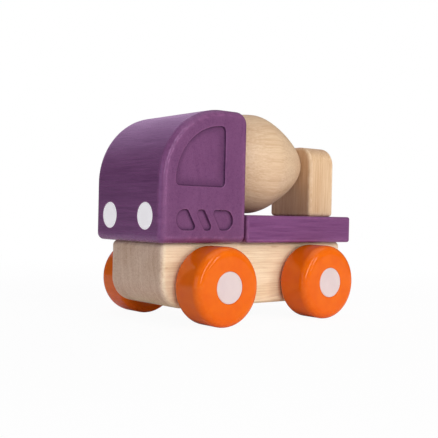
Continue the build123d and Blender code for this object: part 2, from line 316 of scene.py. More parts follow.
class Skin:
    """Gathers a piece's surfaces, in millimetres, and welds them into one closed mesh.

    Each point carries two shares from 0 to 1: edge, where wood stands out and is rubbed,
    with painted highlight lines along a block's roundings, and stain_and_shade, where it lies
    in a recess and gathered stain is deepened with painted shade.
    """

    def __init__(self) -> None:
        """Starts with no surface."""
        self._points: list[np.ndarray] = []
        self._edge: list[np.ndarray] = []
        self._stain_and_shade: list[np.ndarray] = []
        self._faces: list[list[int]] = []
        self._count = 0

    def _keep(self, points: np.ndarray, edge: np.ndarray, stain_and_shade: np.ndarray) -> int:
        """Stores points and their shares, and gives the index of the first."""
        first = self._count
        self._points.append(points.reshape(-1, 3))
        self._edge.append(np.broadcast_to(edge, points.shape[:-1]).reshape(-1))
        self._stain_and_shade.append(np.broadcast_to(stain_and_shade, points.shape[:-1]).reshape(-1))
        self._count += len(self._points[-1])
        return first

    def grid(
        self,
        points: np.ndarray,
        edge: np.ndarray | float = 0.0,
        stain_and_shade: np.ndarray | float = 0.0,
        closed_rows: bool = False,
        skip: np.ndarray | None = None,
    ) -> None:
        """Adds a grid whose columns run right round.

        Args:
            points: rows by columns by three.
            edge: share of worn edge and painted highlight, rows by columns, or one number.
            stain_and_shade: share of gathered stain and painted shade, likewise.
            closed_rows: the last row joins the first.
            skip: rows by columns, true where the face that starts there is left open.
        """
        rows, columns = points.shape[:2]
        first = self._keep(points, np.asarray(edge), np.asarray(stain_and_shade))
        index = first + np.arange(rows * columns).reshape(rows, columns)
        last = rows if closed_rows else rows - 1
        here, there = index[:last], np.roll(index, -1, axis=0)[:last]
        quads = np.stack(
            [here, np.roll(here, -1, axis=1), np.roll(there, -1, axis=1), there], axis=-1
        )
        wanted = np.ones((last, columns), bool) if skip is None else ~skip[:last]
        self._faces.extend(quads[wanted].tolist())

    def panel(self, loops: list[np.ndarray], side: Side) -> None:
        """Fills the flat region inside the first loop and outside the others.

        Args:
            loops: arrays of points in one plane, the outer boundary first.
            side: the face that the plane belongs to.
        """
        flat = [[Vector((*loop[i, list(side.plane_axes)], 0.0)) for i in range(len(loop))]
                for loop in loops]
        first = self._keep(np.concatenate(loops), np.asarray(0.0), np.asarray(0.0))
        triangles = np.array(tessellate_polygon(flat)) + first
        self._faces.extend(triangles.tolist())

    def to_object(self, name: str) -> bpy.types.Object:
        """Welds the surfaces, turns their faces outwards and makes an object of them.

        Args:
            name: the piece's name.

        Returns:
            The object, at the origin, with its place in its mesh.
        """
        mesh = bpy.data.meshes.new(name)
        points = np.concatenate(self._points) * MM
        mesh.from_pydata(points.tolist(), [], self._faces)
        for label, values in (("edge", self._edge), ("stain_and_shade", self._stain_and_shade)):
            layer = mesh.attributes.new(label, "FLOAT", "POINT")
            layer.data.foreach_set("value", np.concatenate(values).astype(np.float32))
        welded = bmesh.new()
        welded.from_mesh(mesh)
        bmesh.ops.remove_doubles(welded, verts=welded.verts, dist=WELD)
        bmesh.ops.dissolve_degenerate(welded, edges=welded.edges, dist=WELD)
        bmesh.ops.recalc_face_normals(welded, faces=welded.faces)
        open_edges = sum(1 for edge in welded.edges if not edge.is_manifold)
        welded.to_mesh(mesh)
        welded.free()
        mesh.shade_smooth()
        mesh.set_sharp_from_angle(angle=SHARP_ANGLE)
        if open_edges:
            log.warning("%s has %d open edges", name, open_edges)
        piece = bpy.data.objects.new(name, mesh)
        bpy.context.scene.collection.objects.link(piece)
        return piece


def quarter(count: int) -> np.ndarray:
    """Angles from nought to a right angle, in radians, with count steps."""
    return np.linspace(0.0, math.pi / 2, count + 1)


def on_face(side: Side, plane: float, ring: np.ndarray, depth: float) -> np.ndarray:
    """Puts a flat ring on a face, or some depth under it.

    Args:
        side: the face.
        plane: where the face lies along its axis.
        ring: points in the face's two world axes.
        depth: how far into the block.

    Returns:
        Points by three.
    """
    points = np.empty((len(ring), 3))
    points[:, side.plane_axes[0]] = ring[:, 0]
    points[:, side.plane_axes[1]] = ring[:, 1]
    points[:, side.axis] = plane - side.sign * depth
    return points


def cut(skin: Skin, recess: Recess, plane: float) -> None:
    """Adds the wall and the floor of a recess.

    Down the section, a ring on the flat face gives way to a quarter-round lip, a straight wall,
    a quarter-round foot and a floor that closes to a point in its middle. A bore has a second
    lip at the far face instead of a floor.

    Args:
        skin: the block's surfaces so far.
        recess: what is cut.
        plane: where its face lies along the face's axis.
    """
    lip, foot = recess.lip, recess.floor_round
    turn = quarter(4)
    section = [(-recess.margin, 0.0, 0.0, 0.0)]
    section += [(-lip + lip * math.sin(a), lip - lip * math.cos(a), 1.0, 0.0) for a in turn]
    if recess.through:
        far = [(inset, recess.depth - down, edge, stain_and_shade) for inset, down, edge, stain_and_shade in section]
        section += far[::-1]
    else:
        # The wall and the floor carry gathered stain and painted shade, fullest at the foot.
        wall_end = recess.depth - foot
        section.append((0.0, wall_end / 2, 0.0, WALL_STAIN_SHADE))
        section += [(foot - foot * math.cos(a), wall_end + foot * math.sin(a), 0.0, 1.0)
                    for a in turn]
        section.append((foot + FLOOR_EDGE, recess.depth, 0.0, FLOOR_STAIN_SHADE))
    rings = [on_face(recess.side, plane, recess.outline.points(row[0]), row[1]) for row in section]
    edge = [row[2] for row in section]
    stain_and_shade = [row[3] for row in section]
    if not recess.through:
        middle = rings[-1].mean(axis=0)
        for share in FLOOR_RINGS:
            rings.append(middle + share * (rings[-1] - middle))
            edge.append(0.0)
            stain_and_shade.append(0.0)
    skin.grid(np.stack(rings), np.array(edge)[:, None], np.array(stain_and_shade)[:, None])


# ---- Finishes ----

class Graph:
    """One material's nodes, with short ways to add and join them."""

    def __init__(self, name: str) -> None:
        """Starts an empty material.

        Args:
            name: the material's name.
        """
        self.material = bpy.data.materials.new(name)
        self.material.use_nodes = True
        self.tree = self.material.node_tree
        self.tree.nodes.clear()

    def add(self, kind: str, values: dict[str | int, object] | None = None,
            **settings: object) -> bpy.types.Node:
        """Adds a node.

        Args:
            kind: its type, without the ShaderNode in front.
            values: inputs by name or number; another node's output is joined.
            settings: the node's own properties.

        Returns:
            The node.
        """
        node = self.tree.nodes.new("ShaderNode" + kind)
        for key, value in settings.items():
            setattr(node, key, value)
        for key, value in (values or {}).items():
            if isinstance(value, Socket):
                self.tree.links.new(value, node.inputs[key])
            else:
                node.inputs[key].default_value = value
        return node

    def math(self, operation: str, first: object, second: object = 0.0, clamp: bool = False) -> Socket:
        """One sum on two numbers, given by a Math node.

        Args:
            operation: the node's operation.
            first: number or output.
            second: number or output.
            clamp: keep the answer between nought and one.

        Returns:
            The answer's output.
        """
        node = self.add("Math", {0: first, 1: second}, operation=operation, use_clamp=clamp)
        return node.outputs[0]

    def fade(self, value: object, low: float, high: float, to_low: float = 0.0,
             to_high: float = 1.0) -> Socket:
        """Maps a value smoothly from one range onto another.

        Args:
            value: number or output.
            low: where the change starts.
            high: where it ends.
            to_low: answer at and before the start.
            to_high: answer at and past the end.

        Returns:
            The answer's output.
        """
        values = {0: value, 1: low, 2: high, 3: to_low, 4: to_high}
        return self.add("MapRange", values, interpolation_type="SMOOTHSTEP").outputs[0]

    def mix(self, share: object, first: object, second: object, blend: str = "MIX") -> Socket:
        """Mixes two colours.

        Args:
            share: how much of the second.
            first: colour or output.
            second: colour or output.
            blend: the way they mix.

        Returns:
            The mixed colour's output.
        """
        node = self.add("Mix", {0: share, 6: first, 7: second}, data_type="RGBA", blend_type=blend)
        return node.outputs[2]

    def attribute(self, label: str) -> Socket:
        """A number that the mesh carries."""
        return self.add("Attribute", attribute_name=label).outputs["Fac"]

    def millimetres(self, turn: tuple[float, float, float], move: tuple[float, float, float]) -> Socket:
        """Object coordinates in millimetres, turned and then moved.

        Args:
            turn: angles about X, Y and Z, in degrees.
            move: millimetres, after the turn.

        Returns:
            The coordinates' output.
        """
        values = {
            "Vector": self.add("TexCoord").outputs["Object"],
            "Location": move,
            "Rotation": tuple(math.radians(a) for a in turn),
            "Scale": (1.0 / MM,) * 3,
        }
        return self.add("Mapping", values, vector_type="POINT").outputs[0]

    def stretched(self, place: Socket, scale: tuple[float, float, float]) -> Socket:
        """Coordinates scaled along each axis."""
        node = self.add("VectorMath", {0: place, 1: scale}, operation="MULTIPLY")
        return node.outputs[0]

    def noise(self, place: Socket, waves: tuple[float, float, float], detail: float = 2.0,
              roughness: float = 0.5) -> Socket:
        """Smooth noise on stretched coordinates.

        Args:
            place: coordinates in millimetres.
            waves: waves per millimetre along each axis.
            detail: finer layers.
            roughness: how strong the finer layers are.

        Returns:
            The noise, about 0.5 in the middle.
        """
        stretched = self.stretched(place, waves)
        values = {"Vector": stretched, "Scale": 1.0, "Detail": detail, "Roughness": roughness}
        return self.add("TexNoise", values).outputs["Fac"]

    def surface(self, colour: Socket, roughness: Socket, height: Socket, depth: float,
                specular: float, glow: float = 0.0,
                tint: tuple[float, float, float] = (1.0, 1.0, 1.0)) -> bpy.types.Material:
        """Ends the material in a Principled shader with a bump.

        Args:
            colour: base colour.
            roughness: roughness.
            height: bump height, about 0 to 1.
            depth: height of one, in millimetres.
            specular: specular level.
            glow: strength of white light of its own.
            tint: colour of its gloss.

        Returns:
            The finished material.
        """
        bump = self.add("Bump", {"Height": height, "Distance": depth * MM, "Strength": 1.0})
        shader = self.add(
            "BsdfPrincipled",
            {
                "Base Color": colour,
                "Roughness": roughness,
                "Normal": bump.outputs[0],
                "Specular IOR Level": specular,
                "Specular Tint": (*tint, 1.0),
                "Emission Color": (1.0, 1.0, 1.0, 1.0),
                "Emission Strength": glow,
            },
        )
        self.add("OutputMaterial", {"Surface": shader.outputs[0]})
        return self.material


# Waves per millimetre of each pattern: twice across the grain, then along it.
SWAY_WAVES = (0.05, 0.05, 0.012)
BROAD_WAVES = (0.10, 0.10, 0.022)
NARROW_WAVES = (1.0, 1.0, 0.022)
FIBRE_WAVES = (1.9, 1.9, 0.06)
PORE_WAVES = (7.0, 7.0, 0.55)
PATCH_WAVES = (0.45, 0.45, 0.30)
PAINT_CLOUD_WAVES = (0.16, 0.16, 0.10)
PAINT_PEEL_WAVES = (1.6, 1.6, 1.3)
PAINT_FIBRE_WAVES = (2.2, 2.2, 0.07)
PAINT_RUBBED_WAVES = (0.7, 0.7, 0.6)
CARD_WAVES = (0.02, 0.02, 0.02)
SWAY = 9.0                      # millimetres that slow noise bends the rings
RING_JITTER = 0.9               # rings by which the uneven ones are early or late
LATE_WOOD = 5.0                 # power that narrows each ring's dark line
MIDDLE_SHADE = 0.47             # of plain wood, where nought is pale and one is dark
RING_SHARE = 0.8                # of a finish's contrast, for uneven rings
STREAK_SHARE = 0.9              # of a finish's contrast, for each size of streak
LINE_SHARE = 0.6                # of a dark line against a pore

# Where a pattern starts to show and where it shows in full.
LINE_RANGE = (0.25, 0.95)
LINE_PATCHES = (0.45, 0.62)
PORE_RANGE = (0.64, 0.76)
END_ON_RANGE = (0.35, 0.95)
RUB_AND_HIGHLIGHT_PATCHES = (0.35, 0.62)
STAIN_SHADE_PATCHES = (0.75, 0.25, 0.75)         # the last is the share where it shows least
CLOUD_RANGE = (0.30, 0.72)
PAINT_RUBBED_PATCHES = (0.42, 0.66)
GLOSS_RANGE = (0.3, 0.7)


@dataclass(frozen=True)
class Grain:
    """How a piece lies in the log that it was sawn or turned from."""

    turn: tuple[float, float, float]      # degrees, that bring the grain to the pattern's Z
    pith: tuple[float, float, float]      # millimetres from the log's middle to the origin
    ring_width: float = 4.0               # millimetres

    def mark(self, piece: bpy.types.Object) -> None:
        """Marks how squarely a piece's surface is cut across the grain, from nought to one.

        Args:
            piece: the piece.
        """
        along = np.array(Euler([math.radians(a) for a in self.turn]).to_matrix())[2]
        mesh = piece.data
        normals = np.empty(3 * len(mesh.loops), np.float32)
        mesh.corner_normals.foreach_get("vector", normals)
        layer = mesh.attributes.new("end_on", "FLOAT", "CORNER")
        layer.data.foreach_set("value", np.abs(normals.reshape(-1, 3) @ along).astype(np.float32))


ALONG = (90.0, 0.0, 0.0)        # grain along the truck
UPRIGHT = (0.0, 0.0, 0.0)
ACROSS = (0.0, 90.0, 0.0)       # grain across the truck


@dataclass(frozen=True)
class WoodFinish:
    """Solid wood, bare or stained: growth rings about the log's middle, fibres and pores."""

    name: str
    pale: Colour
    dark: Colour
    vein: Colour                 # narrow dark late-wood lines and pores
    rub_and_highlight_colour: Colour               # on worn edges, and as painted highlight lines along a block's roundings
    stain_shade_colour: Colour               # gathered stain and painted shade in recesses
    contrast: float              # of rings and broad streaks
    fibre: float                 # strength of the fine fibres
    vein_share: float
    rub_and_highlight_share: float
    stain_shade_share: float
    roughness: float
    specular: float
    relief: float                # millimetres of bump
    end_grain: tuple[float, float, float] = (0.87, 0.84, 0.87)      # darker where the surface is cut across the grain
    gloss_tint: tuple[float, float, float] = (1.0, 1.0, 1.0)

    def material(self, piece: str, grain: Grain) -> bpy.types.Material:
        """Builds the wood for one piece, as it lies in its log.

        The distance from the log's middle, bent by slow noise, drives uneven rings. Noise
        stretched along the grain gives broad patches, streaks and fine fibres, and short
        stretched spots give pores. Where the surface is cut across the grain it is darker.

        Args:
            piece: the piece's name.
            grain: its direction and place in the log.

        Returns:
            The material.
        """
        graph = Graph(f"{self.name}_{piece}")
        place = graph.millimetres(grain.turn, grain.pith)
        slow = graph.add(
            "TexNoise",
            {"Vector": graph.stretched(place, SWAY_WAVES), "Scale": 1.0, "Detail": 2.0},
        ).outputs["Color"]
        centred = graph.add("VectorMath", {0: slow, 1: (0.5, 0.5, 0.5)}, operation="SUBTRACT")
        sway = graph.stretched(centred.outputs[0], (SWAY, SWAY, 0.0))
        bent = graph.add("VectorMath", {0: place, 1: sway}, operation="ADD").outputs[0]
        flat = graph.stretched(bent, (1.0, 1.0, 0.0))
        radius = graph.add("VectorMath", {0: flat}, operation="LENGTH").outputs["Value"]
        rings = graph.math("DIVIDE", radius, grain.ring_width)
        uneven = graph.add(
            "TexNoise", {"W": rings, "Scale": 0.8, "Detail": 3.0}, noise_dimensions="1D"
        ).outputs["Fac"]
        year = graph.math("FRACT", graph.math("ADD", rings, graph.math("MULTIPLY", uneven, RING_JITTER)))
        late = graph.math("POWER", year, LATE_WOOD)
        broad = graph.noise(place, BROAD_WAVES)
        narrow = graph.noise(place, NARROW_WAVES, 2.0, 0.6)
        fine = graph.noise(place, FIBRE_WAVES, 3.0, 0.7)
        pores = graph.noise(place, PORE_WAVES, 1.0)

        shade = MIDDLE_SHADE
        for layer, strength in (
            (uneven, RING_SHARE * self.contrast),
            (broad, STREAK_SHARE * self.contrast),
            (narrow, STREAK_SHARE * self.contrast),
            (fine, self.fibre),
        ):
            swing = graph.math("MULTIPLY", graph.math("SUBTRACT", layer, 0.5), strength)
            shade = graph.math("ADD", swing, shade)
        shade = graph.math("ADD", shade, 0.0, clamp=True)
        wood = graph.mix(shade, linear(self.pale), linear(self.dark))
        line = graph.math("MULTIPLY", graph.fade(late, *LINE_RANGE), graph.fade(broad, *LINE_PATCHES))
        fleck = graph.fade(pores, *PORE_RANGE)
        vein = graph.math("MAXIMUM", graph.math("MULTIPLY", line, LINE_SHARE), fleck)
        wood = graph.mix(graph.math("MULTIPLY", vein, self.vein_share), wood, linear(self.vein))

        end_on = graph.fade(graph.attribute("end_on"), *END_ON_RANGE)
        wood = graph.mix(end_on, wood, (*self.end_grain, 1.0), "MULTIPLY")

        # Lighter on worn edges; along a block's roundings these lines are painted highlight.
        patchy = graph.noise(place, PATCH_WAVES, 3.0, 0.65)
        rub_and_highlight = graph.math("MULTIPLY", graph.attribute("edge"), graph.fade(patchy, *RUB_AND_HIGHLIGHT_PATCHES))
        wood = graph.mix(graph.math("MULTIPLY", rub_and_highlight, self.rub_and_highlight_share), wood, linear(self.rub_and_highlight_colour))
        # Darker in recesses, where gathered stain is deepened with painted shade.
        stain_and_shade = graph.math("MULTIPLY", graph.attribute("stain_and_shade"), graph.fade(patchy, *STAIN_SHADE_PATCHES))
        wood = graph.mix(graph.math("MULTIPLY", stain_and_shade, self.stain_shade_share), wood, linear(self.stain_shade_colour))

        rough = graph.fade(fine, *GLOSS_RANGE, self.roughness - 0.05, self.roughness + 0.06)
        rough = graph.math("SUBTRACT", rough, graph.math("MULTIPLY", rub_and_highlight, 0.10))
        height = graph.math("SUBTRACT", fine, graph.math("MULTIPLY", fleck, 0.5))
        return graph.surface(wood, rough, height, self.relief, self.specular, tint=self.gloss_tint)


@dataclass(frozen=True)
class PaintFinish:
    """Opaque satin paint or enamel over turned wood."""

    name: str
    colour: Colour
    shade: Colour                # in the paint's thicker patches
    rub_and_highlight_colour: Colour
    rub_and_highlight_share: float
    roughness: float
    specular: float
    relief: float
    glow: float = 0.0            # light of its own, which lifts a white disc out of the shade

    def material(self, piece: str, grain: Grain) -> bpy.types.Material:
        """Builds the paint for one piece.

        Slow noise varies the colour, a finer one gives the orange-peel of a sprayed coat, and
        the wood's fibres show through faintly as relief.

        Args:
            piece: the piece's name.
            grain: how the wood under the paint lies.

        Returns:
            The material.
        """
        graph = Graph(f"{self.name}_{piece}")
        place = graph.millimetres(grain.turn, grain.pith)
        slow = graph.noise(place, PAINT_CLOUD_WAVES, 3.0, 0.6)
        peel = graph.noise(place, PAINT_PEEL_WAVES)
        fibres = graph.noise(place, PAINT_FIBRE_WAVES, 3.0, 0.6)
        paint = graph.mix(graph.fade(slow, *CLOUD_RANGE), linear(self.colour), linear(self.shade))
        patchy = graph.noise(place, PAINT_RUBBED_WAVES, 3.0, 0.65)
        rub_and_highlight = graph.math("MULTIPLY", graph.attribute("edge"), graph.fade(patchy, *PAINT_RUBBED_PATCHES))
        paint = graph.mix(graph.math("MULTIPLY", rub_and_highlight, self.rub_and_highlight_share), paint, linear(self.rub_and_highlight_colour))
        rough = graph.fade(slow, *GLOSS_RANGE, self.roughness - 0.03, self.roughness + 0.04)
        height = graph.math("ADD", graph.math("MULTIPLY", peel, 0.6), graph.math("MULTIPLY", fibres, 0.4))
        return graph.surface(paint, rough, height, self.relief, self.specular, self.glow)


NATURAL_WOOD = WoodFinish(
    name="natural_wood",
    pale=(250, 221, 186),
    dark=(222, 180, 140),
    vein=(176, 128, 90),
    rub_and_highlight_colour=(248, 226, 198),
    stain_shade_colour=(150, 108, 72),
    contrast=0.75,
    fibre=1.8,
    vein_share=0.40,
    rub_and_highlight_share=0.45,
    stain_shade_share=0.5,
    roughness=0.52,
    specular=0.38,
    relief=0.012,
)
CHASSIS_WOOD = replace(
    NATURAL_WOOD, pale=(251, 235, 204), dark=(223, 195, 158), contrast=1.2,
    end_grain=(0.83, 0.74, 0.77),
)
DRUM_WOOD = replace(
    NATURAL_WOOD, pale=(231, 204, 171), dark=(202, 165, 128), contrast=0.85, fibre=1.4,
    roughness=0.40, specular=0.48,
)
POST_WOOD = replace(NATURAL_WOOD, pale=(234, 205, 168), dark=(206, 165, 124))
PURPLE_STAIN = WoodFinish(
    name="purple_stain",
    pale=(130, 80, 127),
    dark=(103, 56, 102),
    vein=(80, 36, 78),
    rub_and_highlight_colour=(160, 106, 150),
    stain_shade_colour=(60, 26, 60),
    contrast=0.50,
    fibre=3.0,
    vein_share=0.18,
    rub_and_highlight_share=0.36,
    stain_shade_share=0.85,
    roughness=0.30,
    specular=0.40,
    relief=0.010,
    end_grain=(0.90, 0.96, 0.86),
    gloss_tint=(0.85, 0.62, 1.0),
)
DOWEL_WOOD = replace(
    NATURAL_WOOD, name="dowel_wood", pale=(226, 194, 154), dark=(204, 164, 120),
    vein=(168, 124, 84), rub_and_highlight_colour=(236, 210, 176), contrast=1.0, fibre=0.9, vein_share=0.35,
    rub_and_highlight_share=0.3, roughness=0.58, specular=0.35, relief=0.014,
)
WASHER_FIBRE = WoodFinish(
    name="washer_fibre",
    pale=(150, 138, 124),
    dark=(122, 110, 97),
    vein=(92, 82, 72),
    rub_and_highlight_colour=(176, 164, 150),
    stain_shade_colour=(84, 74, 66),
    contrast=0.7,
    fibre=1.1,
    vein_share=0.4,
    rub_and_highlight_share=0.3,
    stain_shade_share=0.4,
    roughness=0.7,
    specular=0.3,
    relief=0.02,
)
ORANGE_PAINT = PaintFinish(
    name="orange_paint",
    colour=(237, 108, 6),
    shade=(231, 99, 5),
    rub_and_highlight_colour=(248, 140, 62),
    rub_and_highlight_share=0.18,
    roughness=0.11,
    specular=0.25,
    relief=0.004,
)
PINK_WHITE = PaintFinish(
    name="pink_white_enamel",
    colour=(224, 208, 207),
    shade=(218, 200, 200),
    rub_and_highlight_colour=(244, 232, 230),
    rub_and_highlight_share=0.4,
    roughness=0.42,
    specular=0.45,
    relief=0.003,
)
GREY_WHITE = replace(
    PINK_WHITE, name="grey_white_enamel", colour=(238, 236, 238), shade=(232, 230, 232),
    rub_and_highlight_colour=(246, 246, 247), glow=0.27,
)


def hand_over(
    piece: bpy.types.Object, node: str, body: str, material: bpy.types.Material
) -> None:
    """Dresses a finished piece, lets it stand for its CAD node and lets it ride on its body.

    Args:
        piece: the finished object.
        node: the CAD node that it stands for.
        body: the body that it moves with.
        material: its finish.
    """
    piece.data.materials.clear()
    piece.data.materials.append(material)
    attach(piece, body)
    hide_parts(node)
    log.info("%s: %d faces", piece.name, len(piece.data.polygons))


# ---- Wooden blocks ----

@dataclass
class Block:
    """A sanded block: a rounded outline carried through it, with both its ends rounded over."""

    node: str
    way: int                                      # world axis that the outline is carried along
    corner_radii: tuple[float, float, float, float]
    edge_round: float
    slot: str
    finish: WoodFinish
    grain: Grain
    body: str = "truck"
    ease: float = 0.7                             # flat wood over which an edge's wear fades
    line_width: float = 0.3                       # flat wood that carries an edge's line of wear and painted highlight
    # wear and painted highlight along an edge's line
    line_wear_and_highlight: float = 0.35
    round_wear_and_highlight: float = 0.3                       # halfway round an edge, where wear and painted highlight are least

    def recesses(self) -> list[Recess]:
        """What is cut into the block's faces."""
        return []

    def section(self) -> np.ndarray:
        """Half of the way through the block, from a ring on its end face to its middle.

        Each row is an inset of the outline, a distance back from the end face, the share of
        worn edge and painted highlight, and whether the outline's own corners count as edges
        there. The rounding is a quarter circle: inset r less r sin t, and distance back r less
        r cos t. It is lightest along its two lines, where it leaves the flat faces: wear with
        painted highlight lines, darker between them.

        Returns:
            Rows by four.
        """
        r = self.edge_round
        rows = [(r + 2.0 * self.ease, 0.0, 0.0, 0.0), (r + self.line_width, 0.0, self.line_wear_and_highlight, 0.0)]
        for t in quarter(10):
            wear_and_highlight = self.round_wear_and_highlight + (1.0 - self.round_wear_and_highlight) * math.cos(2.0 * t) ** 2
            rows.append((r - r * math.sin(t), r - r * math.cos(t), wear_and_highlight, math.sin(t)))
        rows.append((0.0, r + self.ease, 0.0, 1.0))
        return np.array(rows)

    def mesh(self) -> bpy.types.Object:
        """Builds the block.

        Rings of the outline follow the section in from one end face and out to the other. A
        flat face that something is cut into is a panel with those outlines left open.

        Returns:
            The object.
        """
        low, high = node_box(self.node)
        u, v = other_axes(self.way)
        outline = RoundedRectangle(
            (low[u], low[v]), (high[u], high[v]), self.corner_radii, self.ease
        )
        half = self.section()
        rings, edges = [], []
        for sign, rows in ((-1, half), (1, half[::-1])):
            plane = end_of(self.node, self.way, sign)
            for inset, back, worn_and_highlit, corners in rows:
                ring, corner_wear, flats = outline.ring(inset)
                rings.append(on_face(Side((self.way, sign)), plane, ring, back))
                edges.append(np.maximum(worn_and_highlit, corners * corner_wear))
        grid = np.stack(rings)
        cuts = self.recesses()
        skin = Skin()
        skip = np.zeros(grid.shape[:2], bool)
        middle = len(half) - 1
        flat_sides = [(v, -1), (u, 1), (v, 1), (u, -1)]
        for (axis, sign), column in zip(flat_sides, flats):
            side = Side((axis, sign))
            if any(recess.side is side for recess in cuts):
                skip[middle, column] = True
                after = (column + 1) % grid.shape[1]
                corners = [grid[middle, column], grid[middle, after],
                           grid[middle + 1, after], grid[middle + 1, column]]
                self._face(skin, side, np.array(corners), cuts)
        skin.grid(grid, np.stack(edges), 0.0, skip=skip)
        for sign, ring in ((-1, grid[0]), (1, grid[-1])):
            self._face(skin, Side((self.way, sign)), ring, cuts)
        return skin.to_object(self.node + "_visual")

    def _face(self, skin: Skin, side: Side, boundary: np.ndarray, cuts: list[Recess]) -> None:
        """Fills one flat face and adds what is cut into it.

        Args:
            skin: the block's surfaces so far.
            side: the face.
            boundary: its outer points.
            cuts: all the block's recesses, because a bore also opens in the far face.
        """
        plane = end_of(self.node, side.axis, side.sign)
        holes = [recess for recess in cuts if recess.side is side]
        far_bores = [c for c in cuts if c.through and c.side.axis == side.axis and c.side is not side]
        mouths = [on_face(side, plane, c.outline.points(-c.margin), 0.0) for c in holes + far_bores]
        skin.panel([boundary, *mouths], side)
        for recess in holes:
            cut(skin, recess, plane)

    def build(self) -> None:
        """Builds the block, dresses it and puts it in its CAD node's place."""
        piece = self.mesh()
        self.grain.mark(piece)
        material = self.finish.material(self.node, self.grain)
        hand_over(piece, self.node, self.body, material)


def sockets_for(dowels: tuple[str, ...], side: Side, clearance: float = 0.5) -> list[Recess]:
    """Blind holes for upright dowels.

    Args:
        dowels: the dowels' CAD nodes.
        side: the face that they enter; TOP where they stand in the block from above.
        clearance: room for glue past a dowel's end.

    Returns:
        One recess for each dowel, as deep as the dowel reaches past the joint's face.
    """
    found = []
    for dowel in dowels:
        joint = JOINT_HEIGHT[dowel.rsplit("_", 1)[0]]
        reach = -side.sign * (end_of(dowel, 2, -side.sign) - joint)
        found.append(Recess(side, Circle(*round_stock(dowel, 2)), reach + clearance))
    return found


CHASSIS_TOP = end_of("chassis", 2, 1)
DECK_TOP = end_of("deck", 2, 1)
JOINT_HEIGHT = {"cab_dowel": CHASSIS_TOP, "deck_dowel": CHASSIS_TOP, "post_dowel": DECK_TOP}
CAB_DOWELS = ("cab_dowel_front", "cab_dowel_rear")
DECK_DOWELS = ("deck_dowel_front", "deck_dowel_rear")
POST_DOWELS = ("post_dowel_left", "post_dowel_right")
HEADLIGHTS = ("headlight_left", "headlight_right")


@dataclass
class Chassis(Block):
    """The pale block that carries everything, with two axle bores right through it."""

    axle_clearance: float = 0.08
    bore_lip: float = 0.25

    def recesses(self) -> list[Recess]:
        """Two bores across it and the holes of four dowels in its top."""
        low, high = node_box(self.node)
        cuts = sockets_for(CAB_DOWELS + DECK_DOWELS, Side.TOP)
        for axle in ("front_axle", "rear_axle"):
            centre, radius = round_stock(axle, 0)
            bore = Circle(centre, radius + self.axle_clearance)
            cuts.append(Recess(Side.LEFT, bore, high[0] - low[0], self.bore_lip, through=True))
        return cuts


@dataclass
class Deck(Block):
    """The stained slab behind the cab."""

    def recesses(self) -> list[Recess]:
        """Dowel holes underneath for the chassis and on top for the post."""
        return sockets_for(DECK_DOWELS, Side.UNDER) + sockets_for(POST_DOWELS, Side.TOP)


@dataclass
class Post(Block):
    """The upright block that holds the rear end of the drum's pin."""

    def recesses(self) -> list[Recess]:
        """The pin's hole in its front and two dowel holes underneath."""
        return [pin_hole(Side.FRONT, self.node)] + sockets_for(POST_DOWELS, Side.UNDER)


def pin_hole(side: Side, node: str, clearance: float = 0.5) -> Recess:
    """The blind hole that holds one end of the drum's pin.

    Args:
        side: the face that the pin enters.
        node: the block's CAD node.
        clearance: room for glue past the pin's end.

    Returns:
        The recess.
    """
    reach = side.sign * (end_of(node, 1, side.sign) - end_of("drum_pin", 1, -side.sign))
    return Recess(side, Circle(*round_stock("drum_pin", 1)), reach + clearance)


